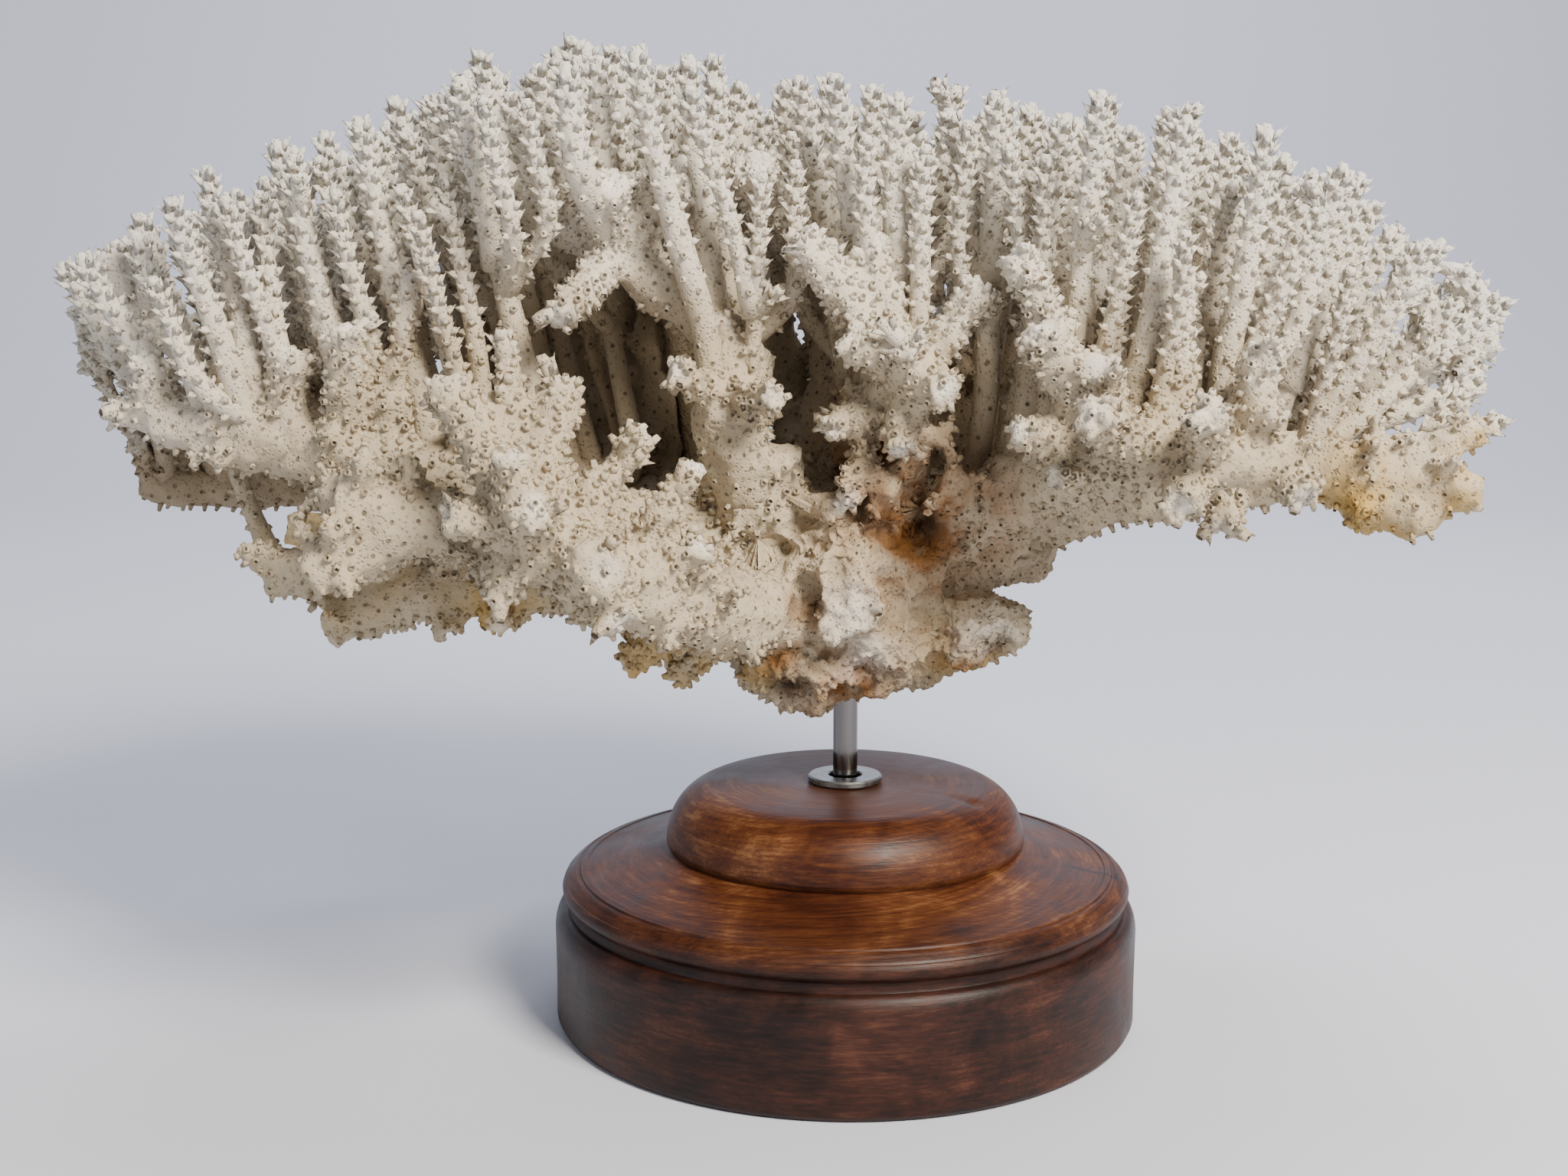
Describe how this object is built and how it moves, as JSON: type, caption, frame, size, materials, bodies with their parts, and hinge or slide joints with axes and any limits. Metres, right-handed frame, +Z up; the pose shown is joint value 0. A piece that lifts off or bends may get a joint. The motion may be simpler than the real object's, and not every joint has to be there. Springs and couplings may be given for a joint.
{
  "type": "coral specimen on stand",
  "caption": "Dried branching table coral with a flat fan of upright fingers, held on a steel rod over a turned wooden base.",
  "frame": {"origin": "centre of the wooden base's underside", "axes": "+Z up along the rod, +X to the right along the coral's long side, -Y towards the side the picture shows"},
  "size_m": [0.4549, 0.2855, 0.3137],
  "materials": {
    "coral": "matt, porous, cream white",
    "stained_wood": "turned, stained dark, worn satin",
    "rod_steel": "polished",
    "washer_steel": "satin zinc"
  },
  "bodies": {
    "root": {"wooden_base": "stained_wood", "washer": "washer_steel", "rod": "rod_steel", "coral_trunk": "coral", "crown_left_limb": "coral", "crown_middle_limb": "coral", "crown_back_limb": "coral", "crown_back_left_limb": "coral", "left_back_limb": "coral", "left_wing_limb": "coral", "left_arm_limb": "coral", "lower_left_limb": "coral", "under_left_limb": "coral", "front_limb": "coral", "right_front_limb": "coral", "right_low_limb": "coral", "right_middle_limb": "coral", "right_back_limb": "coral"}
  },
  "joints": []
}
